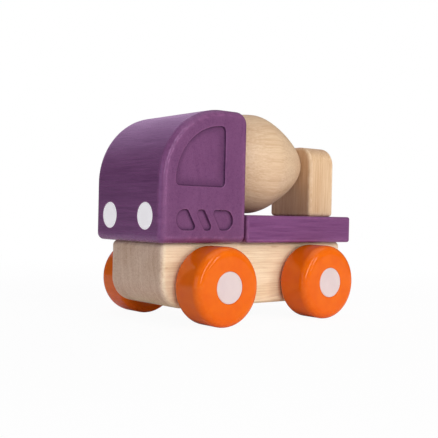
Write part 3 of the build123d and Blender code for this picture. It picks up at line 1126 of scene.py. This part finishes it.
@dataclass
class Cab(Block):
    """The stained cab, with a window and three vents routed into each side."""

    pocket_depth: float = 0.9
    pocket_lip: float = 0.2
    pocket_foot: float = 0.3
    window_band: float = 6.3         # wood between the window and the roof's curve
    window_sill: float = 21.2        # above the cab's underside
    window_rear_margin: float = 11.3
    window_round: float = 2.0
    vent_front_margin: float = 6.8
    vent_rear_margin: float = 7.0
    vent_height: float = 7.8
    vent_rise: float = 8.7
    vent_bar_width: float = 2.7
    vent_bar_lean: float = 30.0      # degrees from upright, top towards the front
    vent_slot_width: float = 3.9
    vent_slot_shift: float = -0.5
    vent_round: float = 1.5
    socket_lip: float = 0.15         # of a headlight's socket

    def window(self) -> Outline:
        """The window: an arc about the roof's centre, an upright rear edge and a level sill.

        With its corners' radius taken off all round, three sharp corners are left, and each
        is the centre of one rounded corner.

        Returns:
            The outline along Y and Z.
        """
        low, high = node_box(self.node)
        roof = self.corner_radii[3]
        centre = (low[1] + roof, high[2] - roof)
        outer = roof - self.window_band
        inner = outer - self.window_round
        rear = high[1] - self.window_rear_margin - self.window_round
        sill = low[2] + self.window_sill + self.window_round
        top = centre[1] + math.sqrt(inner**2 - (rear - centre[0]) ** 2)
        front = centre[0] - math.sqrt(inner**2 - (sill - centre[1]) ** 2)
        top_turn = math.degrees(math.atan2(top - centre[1], rear - centre[0]))
        front_turn = math.degrees(math.atan2(sill - centre[1], front - centre[0])) % 360.0
        r = self.window_round
        return Outline([
            Arc((rear, sill), r, -90.0, 0.0),
            Arc((rear, top), r, 0.0, top_turn),
            Arc(centre, outer, top_turn, front_turn),
            Arc((front, sill), r, front_turn, 270.0),
        ])

    def vents(self) -> list[Outline]:
        """The three vents: a long slot with round ends, divided by two leaning bars.

        Each cut corner is rounded about the point where its two edges, both moved in by the
        corner's radius, meet.

        Returns:
            The outlines along Y and Z, front first.
        """
        low, high = node_box(self.node)
        front, rear = low[1] + self.vent_front_margin, high[1] - self.vent_rear_margin
        level = low[2] + self.vent_rise
        half, r, lean = self.vent_height / 2, self.vent_round, self.vent_bar_lean
        slope = math.radians(lean)
        slot = (front + rear) / 2 + self.vent_slot_shift
        middle = slot * math.cos(slope) + level * math.sin(slope)
        near = self.vent_slot_width / 2
        far = near + self.vent_bar_width
        up, down = level + half - r, -(level - half + r)

        def corner(looks: float, reach: float, upper: bool) -> Point:
            """Where a leaning edge, moved in, meets the slot's top or bottom, moved in."""
            return meeting(looks, reach - r, 90.0 if upper else -90.0, up if upper else down)

        back = lean + 180.0
        return [
            Outline([
                Arc((front + half, level), half, 90.0, 270.0),
                Arc(corner(lean, middle - far, False), r, 270.0, 360.0 + lean),
                Arc(corner(lean, middle - far, True), r, lean, 90.0),
            ]),
            Outline([
                Arc(corner(back, -(middle - near), False), r, back, 270.0),
                Arc(corner(lean, middle + near, False), r, 270.0, 360.0 + lean),
                Arc(corner(lean, middle + near, True), r, lean, 90.0),
                Arc(corner(back, -(middle - near), True), r, 90.0, back),
            ]),
            Outline([
                Arc((rear - half, level), half, -90.0, 90.0),
                Arc(corner(back, -(middle + far), True), r, 90.0, back),
                Arc(corner(back, -(middle + far), False), r, back, 270.0),
            ]),
        ]

    def recesses(self) -> list[Recess]:
        """Pockets in both sides, headlight sockets, the pin's hole and the dowels' holes."""
        cuts = sockets_for(CAB_DOWELS, Side.UNDER) + [pin_hole(Side.REAR, self.node)]
        for side in (Side.LEFT, Side.RIGHT):
            for outline in [self.window(), *self.vents()]:
                cuts.append(
                    Recess(side, outline, self.pocket_depth, self.pocket_lip, self.pocket_foot)
                )
        for lamp in HEADLIGHTS:
            low, high = node_box(lamp)
            socket = Circle(*round_stock(lamp, 1))
            cuts.append(Recess(Side.FRONT, socket, high[1] - low[1], self.socket_lip))
        return cuts


# ---- Turned pieces ----

def turned(name: str, profile: np.ndarray, edge: np.ndarray, axis: int,
           centre: np.ndarray, segments: int) -> bpy.types.Object:
    """Turns a closed profile about an axis.

    A point at angle a is the centre plus its radius times the cosine and sine of a in the two
    axes across, and its distance along the axis.

    Args:
        name: the object's name.
        profile: rows of radius and place along the axis. A first and last radius of nought
            closes at the axis; otherwise the last row joins the first.
        edge: share of worn edge for each row.
        axis: world axis that it turns about.
        centre: a point on that axis.
        segments: points around.

    Returns:
        The object.
    """
    angle = np.linspace(0.0, 2.0 * math.pi, segments, endpoint=False)
    first, second = other_axes(axis)
    points = np.empty((len(profile), segments, 3))
    points[..., first] = centre[first] + profile[:, :1] * np.cos(angle)
    points[..., second] = centre[second] + profile[:, :1] * np.sin(angle)
    points[..., axis] = profile[:, 1:]
    skin = Skin()
    skin.grid(points, edge[:, None], 0.0, closed_rows=profile[0, 0] > 0.0)
    return skin.to_object(name)


def bezier(start: Point, leave: Point, arrive: Point, end: Point, count: int) -> np.ndarray:
    """Points on one cubic curve: the four given points weighted by the cubic Bernstein terms.

    Args:
        start: first point.
        leave: handle after it.
        arrive: handle before the last point.
        end: last point.
        count: steps.

    Returns:
        count plus one points.
    """
    t = np.linspace(0.0, 1.0, count + 1)[:, None]
    a, b, c, d = (np.array(point) for point in (start, leave, arrive, end))
    return (1 - t) ** 3 * a + 3 * t * (1 - t) ** 2 * b + 3 * t**2 * (1 - t) * c + t**3 * d


def rounded_turn(corner: Point, before: Point, after: Point, radius: float, count: int) -> np.ndarray:
    """Rounds the corner of a profile with an arc that touches both its straight sides.

    Args:
        corner: the sharp corner.
        before: any point on the side that leads to it.
        after: any point on the side that leaves it.
        radius: of the arc.
        count: steps.

    Returns:
        count plus one points, from the first side to the second.
    """
    p = np.array(corner, float)
    back = np.array(before, float) - p
    on = np.array(after, float) - p
    back, on = back / np.linalg.norm(back), on / np.linalg.norm(on)
    half = math.acos(float(np.clip(back @ on, -1.0, 1.0))) / 2.0
    middle = p + (back + on) / np.linalg.norm(back + on) * radius / math.sin(half)
    start = p + back * radius / math.tan(half) - middle
    end = p + on * radius / math.tan(half) - middle
    turn = math.pi - 2.0 * half
    share = np.linspace(0.0, 1.0, count + 1)[:, None]
    return middle + (np.sin((1 - share) * turn) * start + np.sin(share * turn) * end) / math.sin(turn)


@dataclass
class Drum:
    """The turned drum, fattest just behind the cab, with flat bored ends."""

    node: str = "mixer_drum"
    belly_setback: float = 18.5      # widest ring behind the drum's own front end
    front_end_radius: float = 13.5
    front_belly_handle: float = 8.5
    front_end_handle: float = 6.0
    front_end_slope: float = 48.0
    rear_end_radius: float = 6.75
    rear_belly_handle: float = 5.95
    rear_end_handle: float = 6.35
    rear_end_slope: float = 53.0
    end_break: float = 0.5
    front_flat: float = 2.0          # flat wood inside each end's broken edge
    rear_flat: float = 1.5
    bore_clearance: float = 0.08
    front_steps: int = 40            # along each curve
    rear_steps: int = 56
    segments: int = 160
    grain: Grain = Grain(ALONG, (31.0, -30.0, 0.0), 4.4)

    def profile(self) -> tuple[np.ndarray, np.ndarray, np.ndarray]:
        """The drum's half section: two curves that meet at the widest ring, and the bore.

        The curves' few points beside each end give way to its broken edge.

        Returns:
            Rows of radius and Y, the share of worn edge, and the axis's centre.
        """
        low, high = node_box(self.node)
        centre = (low + high) / 2
        radius = round_stock(self.node, 1)[1]
        bore = round_stock("drum_pin", 1)[1] + self.bore_clearance
        front, rear = low[1], high[1]
        belly = front + self.belly_setback
        a, b = math.radians(self.front_end_slope), math.radians(self.rear_end_slope)
        leave = (self.front_end_radius + self.front_end_handle * math.sin(a),
                 front + self.front_end_handle * math.cos(a))
        arrive = (self.rear_end_radius + self.rear_end_handle * math.sin(b),
                  rear - self.rear_end_handle * math.cos(b))
        fore = bezier((self.front_end_radius, front), leave,
                      (radius, belly - self.front_belly_handle), (radius, belly), self.front_steps)
        aft = bezier((radius, belly), (radius, belly + self.rear_belly_handle), arrive,
                     (self.rear_end_radius, rear), self.rear_steps)
        front_break = rounded_turn((self.front_end_radius, front), (0.0, front), leave,
                                   self.end_break, 5)
        rear_break = rounded_turn((self.rear_end_radius, rear), arrive, (0.0, rear),
                                  self.end_break, 5)
        rows = [
            np.array([(bore, front), (self.front_end_radius - self.front_flat, front)]),
            front_break,
            fore[2:-1],
            aft[:-3],
            rear_break,
            np.array([(self.rear_end_radius - self.rear_flat, rear), (bore, rear)]),
        ]
        edge = np.concatenate([np.full(len(row), float(row is front_break or row is rear_break))
                               for row in rows])
        return np.concatenate(rows), edge, centre

    def build(self) -> None:
        """Builds the drum, dresses it and puts it on its own body."""
        profile, edge, centre = self.profile()
        piece = turned(self.node + "_visual", profile, edge, 1, centre, self.segments)
        self.grain.mark(piece)
        material = DRUM_WOOD.material(self.node, self.grain)
        hand_over(piece, self.node, "drum", material)


@dataclass
class Disc:
    """A white disc let in level with the face round it."""

    node: str
    axis: int                # world axis that it faces along
    outward: int             # sign of that axis
    body: str
    finish: PaintFinish
    rim_round: float = 0.3
    fit: float = 0.04        # how much smaller than its seat it is, all round
    sink: float = 0.03       # how far its rim lies below its middle
    rim_wear: float = 0.8
    rings: int = 9           # across its flat
    segments: int = 96

    def build(self) -> None:
        """Builds the disc: a faintly domed face, a rounded rim, a straight wall and a back."""
        low, high = node_box(self.node)
        centre = (low + high) / 2
        radius = round_stock(self.node, self.axis)[1] - self.fit
        face = end_of(self.node, self.axis, self.outward)
        back = end_of(self.node, self.axis, -self.outward)
        flat = np.linspace(0.0, radius - self.rim_round, self.rings)
        sag = self.sink * (flat / radius) ** 2
        turn = quarter(5)[1:]
        rim_radius = radius - self.rim_round + self.rim_round * np.sin(turn)
        rim_sag = sag[-1] + self.rim_round * (1 - np.cos(turn))
        outer = np.concatenate([flat, rim_radius])
        down = np.concatenate([sag, rim_sag])
        along = np.concatenate([face - self.outward * down, [back, back]])
        profile = np.stack([np.concatenate([outer, [radius, 0.0]]), along], axis=1)
        edge = np.concatenate([np.zeros(self.rings), np.sin(2 * turn) * self.rim_wear, [0.0, 0.0]])
        piece = turned(self.node + "_visual", profile, edge, self.axis, centre, self.segments)
        material = self.finish.material(self.node, Grain(UPRIGHT, (centre[1], 7.0, centre[0])))
        hand_over(piece, self.node, self.body, material)


@dataclass
class Wheel:
    """One painted wheel, with its bore, its cap's seat and its two rounded rims."""

    node: str
    cap: str
    axle: str
    side: int                # 1 on the left, -1 on the right
    body: str
    outer_round: float = 3.5
    inner_round: float = 2.9
    seat_lip: float = 0.18
    bore_break: float = 0.3
    flat: float = 0.6        # flat wood kept beside a rounding
    face_flat: float = 0.5   # likewise, on the two faces beside the rims
    lip_wear: float = 0.6
    back_wear: float = 0.8
    segments: int = 144

    def profile(self) -> tuple[np.ndarray, np.ndarray, np.ndarray]:
        """The wheel's half section, from the seat's lip round the tread to the bore.

        Returns:
            Rows of radius and X, the share of worn edge, and the axle's centre.
        """
        low, high = node_box(self.node)
        centre = (low + high) / 2
        radius = round_stock(self.node, 0)[1]
        outer = end_of(self.node, 0, self.side)
        inner = end_of(self.node, 0, -self.side)
        seat = round_stock(self.cap, 0)[1]
        floor = end_of(self.cap, 0, -self.side)
        bore = round_stock(self.axle, 0)[1]
        lip = rounded_turn((seat, outer), (seat, floor), (radius, outer), self.seat_lip, 3)
        face_edge = radius - self.outer_round - self.face_flat
        face = np.array([(seat + self.flat, outer), (face_edge, outer)])
        rim = rounded_turn((radius, outer), (seat, outer), (radius, inner), self.outer_round, 16)
        tread_start = outer - self.side * (self.outer_round + self.flat)
        tread_end = inner + self.side * (self.inner_round + self.flat)
        tread = np.array([(radius, tread_start), (radius, tread_end)])
        back_rim = rounded_turn((radius, inner), (radius, outer), (bore, inner), self.inner_round, 12)
        rest = np.array([
            (radius - self.inner_round - self.face_flat, inner),
            (bore + self.bore_break, inner),
            (bore, inner + self.side * self.bore_break),
            (bore, floor),
            (seat, floor),
        ])
        rows = [lip, face, rim, tread, back_rim, rest]
        wear_and_highlight = [self.lip_wear, 0.0, 1.0, 0.0, self.back_wear, 0.0]
        edge = np.concatenate([
            level * np.sin(np.linspace(0.0, math.pi, len(row))) if level else np.zeros(len(row))
            for row, level in zip(rows, wear_and_highlight)
        ])
        return np.concatenate(rows), edge, centre

    def build(self) -> None:
        """Builds the wheel and dresses it."""
        profile, edge, centre = self.profile()
        piece = turned(self.node + "_visual", profile, edge, 0, centre, self.segments)
        grain = Grain(ACROSS, (centre[2], centre[1], 0.0))
        material = ORANGE_PAINT.material(self.node, grain)
        hand_over(piece, self.node, self.body, material)


@dataclass
class WheelSet:
    """One axle with its two wheels, their caps and their washers."""

    end: str                 # front or rear
    sides: dict[str, int] = field(default_factory=lambda: {"left": 1, "right": -1})

    def build(self) -> None:
        """Builds the wheels and caps, and dresses the axle and the washers."""
        body = f"{self.end}_wheel_set"
        for side_name, side in self.sides.items():
            cap = f"hub_cap_{self.end}_{side_name}"
            Wheel(f"wheel_{self.end}_{side_name}", cap, f"{self.end}_axle", side, body).build()
            Disc(cap, 0, side, body, PINK_WHITE).build()
            dress(f"washer_{self.end}_{side_name}", WASHER_FIBRE, Grain(UPRIGHT, (9.0, 4.0, 0.0)))
        dress(f"{self.end}_axle", DOWEL_WOOD, Grain(ACROSS, (14.0, -6.0, 0.0)))


def dress(node: str, finish: WoodFinish, grain: Grain) -> None:
    """Gives a CAD node that keeps its own shape its finish.

    Args:
        node: the node.
        finish: its finish.
        grain: how the piece lies in its stock.
    """
    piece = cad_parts[node]
    material = finish.material(node, grain)
    for index in range(len(piece.material_slots)):
        piece.material_slots[index].material = material
    if not piece.material_slots:
        piece.data.materials.append(material)
    log.info("%s: dressed in %s", node, finish.name)


# ---- Studio ----

@dataclass(frozen=True)
class SoftLight:
    """One rectangular soft light that looks at the truck's middle."""

    name: str
    towards: tuple[float, float, float]      # direction from the truck to the light
    size: Point                              # width and height, millimetres
    power: float                             # watts
    tint: tuple[float, float, float]         # linear colour
    distance: float = 1000.0                 # millimetres
    spin: float = 0.0                        # degrees that it is turned about the way it looks
    glossy: bool = True                      # glossy surfaces mirror it

    def build(self) -> None:
        """Places the light."""
        low, high = (np.array(corner) for corner in CAD_BOX)
        light = bpy.data.lights.new(self.name, "AREA")
        light.shape = "RECTANGLE"
        light.size, light.size_y = self.size[0] * MM, self.size[1] * MM
        light.energy = self.power
        light.color = self.tint
        lamp = bpy.data.objects.new(self.name, light)
        direction = Vector(self.towards).normalized()
        lamp.location = Vector((low + high) / 2) + direction * self.distance * MM
        aim = direction.to_track_quat("Z", "Y").to_matrix()
        aim = aim @ Matrix.Rotation(math.radians(self.spin), 3, "Z")
        lamp.rotation_euler = aim.to_euler()
        lamp.visible_glossy = self.glossy
        bpy.context.scene.collection.objects.link(lamp)


SOFT_LIGHTS = (
    SoftLight("key", (0.98, 0.11, 0.07), (520.0, 420.0), 3.3, (1.0, 0.98, 0.95), 900.0, glossy=False),
    SoftLight("side_strip", (0.90, 0.33, 0.29), (70.0, 460.0), 1.0, (1.0, 0.98, 0.96)),
    SoftLight("rim_strip", (0.87, -0.24, 0.42), (160.0, 900.0), 3.4, (1.0, 0.98, 0.96), spin=-36.0),
    SoftLight("top", (0.10, 0.10, 1.0), (900.0, 900.0), 2.2, (0.97, 0.98, 1.0), 900.0),
    SoftLight("fill", (0.10, -1.0, 0.10), (800.0, 600.0), 1.8, (0.79, 0.87, 1.0)),
    SoftLight("back", (-0.80, 0.12, 0.56), (900.0, 700.0), 1.8, (0.90, 0.60, 1.0)),
    SoftLight("rear", (-0.55, 0.76, 0.34), (900.0, 700.0), 2.4, (1.0, 0.99, 0.97), glossy=False),
)


@dataclass
class Studio:
    """A pale floor, soft lights and the camera."""

    azimuth: float = 51.243          # degrees, from looking along +Y
    elevation: float = 0.344
    roll: float = 1.245
    lens: float = 64.85              # millimetres, on a sensor 36 wide
    right: float = 17.116            # camera's place from the front axle, along its own axes
    up: float = 24.629
    back: float = 315.072
    floor_size: float = 8000.0
    floor_lines: int = 9             # grid lines each way
    floor_white: float = 0.95        # how much of the floor's own shade is washed out by light
    wash_start: float = 90.0         # millimetres out, from where the wash grows
    wash_end: float = 400.0          # where it is whole
    world_light: float = 0.15        # the backdrop's strength on the truck

    def build(self) -> None:
        """Builds the floor, the lights, the world and the camera."""
        self._floor()
        self._world()
        for light in SOFT_LIGHTS:
            light.build()
        self._camera()
        bpy.context.scene.view_settings.view_transform = "Standard"

    def _floor(self) -> None:
        """A wide flat floor, with the faint mottling of matt card."""
        half = self.floor_size / 2
        count = self.floor_lines
        ends = np.linspace(-half, half, count)
        across, along = np.meshgrid(ends, ends)
        points = np.stack([across, along, np.zeros_like(across)], axis=-1).reshape(-1, 3) * MM
        index = np.arange(count * count).reshape(count, count)
        quads = np.stack([index[:-1, :-1], index[:-1, 1:], index[1:, 1:], index[1:, :-1]], -1)
        mesh = bpy.data.meshes.new("floor")
        mesh.from_pydata(points.tolist(), [], quads.reshape(-1, 4).tolist())
        floor = bpy.data.objects.new("floor", mesh)
        bpy.context.scene.collection.objects.link(floor)
        graph = Graph("pale_floor")
        place = graph.millimetres((0.0, 0.0, 0.0), (0.0, 0.0, 0.0))
        mottle = graph.noise(place, CARD_WAVES, 3.0)
        colour = graph.mix(mottle, linear((250, 250, 250)), linear((253, 253, 253)))
        card = graph.add("BsdfDiffuse", {"Color": colour})
        white = graph.add("Emission", {"Color": (1.0, 1.0, 1.0, 1.0), "Strength": 1.0})
        seen = graph.add("LightPath").outputs["Is Camera Ray"]
        flat = graph.stretched(place, (1.0, 1.0, 0.0))
        away = graph.add("VectorMath", {0: flat}, operation="LENGTH").outputs["Value"]
        wash = graph.fade(away, self.wash_start, self.wash_end, self.floor_white, 1.0)
        share = graph.math("MULTIPLY", seen, wash)
        shader = graph.add("MixShader", {0: share, 1: card.outputs[0], 2: white.outputs[0]})
        graph.add("OutputMaterial", {"Surface": shader.outputs[0]})
        mesh.materials.append(graph.material)

    def _world(self) -> None:
        """A white backdrop that lights the truck only a little."""
        world = bpy.data.worlds.new("studio")
        bpy.context.scene.world = world
        world.use_nodes = True
        tree = world.node_tree
        tree.nodes.clear()
        path = tree.nodes.new("ShaderNodeLightPath")
        choice = tree.nodes.new("ShaderNodeMixShader")
        out = tree.nodes.new("ShaderNodeOutputWorld")
        tree.links.new(path.outputs["Is Camera Ray"], choice.inputs[0])
        backdrops = ((self.world_light, (1.0, 0.98, 0.96, 1.0)), (1.0, (1.0, 1.0, 1.0, 1.0)))
        for slot, (strength, colour) in enumerate(backdrops, start=1):
            backdrop = tree.nodes.new("ShaderNodeBackground")
            backdrop.inputs["Strength"].default_value = strength
            backdrop.inputs["Color"].default_value = colour
            tree.links.new(backdrop.outputs[0], choice.inputs[slot])
        tree.links.new(choice.outputs[0], out.inputs["Surface"])

    def _camera(self) -> None:
        """Places the camera by its angles and its distances from the front axle's middle."""
        a, e, r = (math.radians(v) for v in (self.azimuth, self.elevation, self.roll))
        back = Vector((math.sin(a) * math.cos(e), -math.cos(a) * math.cos(e), math.sin(e)))
        level = Vector((math.cos(a), math.sin(a), 0.0))
        raised = back.cross(level)
        right = math.cos(r) * level + math.sin(r) * raised
        up = -math.sin(r) * level + math.cos(r) * raised
        low, high = node_box("front_axle")
        axle = Vector((low + high) / 2)
        place = axle + self.right * right + self.up * up + self.back * back
        data = bpy.data.cameras.new("camera")
        data.sensor_width = 36.0
        data.lens = self.lens
        data.clip_start = 0.01
        camera = bpy.data.objects.new("camera", data)
        turn = Matrix((right, up, back)).transposed()
        camera.matrix_world = Matrix.Translation(place * MM) @ turn.to_4x4()
        bpy.context.scene.collection.objects.link(camera)
        bpy.context.scene.camera = camera


def main() -> None:
    """Builds the truck from the ground up, then the studio round it."""
    logging.basicConfig(level=logging.INFO, format="%(name)s: %(message)s")
    for end in ("front", "rear"):
        WheelSet(end).build()
    Chassis(
        node="chassis", way=0, corner_radii=(10.3, 10.3, 2.2, 2.2), edge_round=1.8,
        slot="natural_wood", finish=CHASSIS_WOOD, grain=Grain(ALONG, (-88.0, 24.0, 0.0), 1.4),
    ).build()
    Cab(
        node="cab", way=0, corner_radii=(2.7, 2.7, 5.0, 28.1), edge_round=2.4,
        slot="purple_stained_wood", finish=PURPLE_STAIN,
        grain=Grain(ACROSS, (-50.0, 112.0, 0.0), 3.6),
    ).build()
    Deck(
        node="deck", way=2, corner_radii=(1.05, 1.05, 1.05, 1.05), edge_round=1.0,
        slot="purple_stained_wood", finish=PURPLE_STAIN,
        grain=Grain(ALONG, (26.0, -66.0, 0.0), 3.0),
    ).build()
    Post(
        node="rear_post", way=1, corner_radii=(1.6, 1.6, 7.7, 7.7), edge_round=1.1,
        slot="natural_wood", finish=POST_WOOD, grain=Grain(UPRIGHT, (-58.0, -96.0, 0.0), 2.3),
    ).build()
    for lamp in HEADLIGHTS:
        Disc(lamp, 1, -1, "truck", GREY_WHITE).build()
    Drum().build()
    dress("drum_pin", DOWEL_WOOD, Grain(ALONG, (12.0, 5.0, 0.0)))
    for dowel in CAB_DOWELS + DECK_DOWELS + POST_DOWELS:
        dress(dowel, DOWEL_WOOD, Grain(UPRIGHT, (11.0, 8.0, 0.0)))
    Studio().build()


if __name__ == "__main__":
    main()
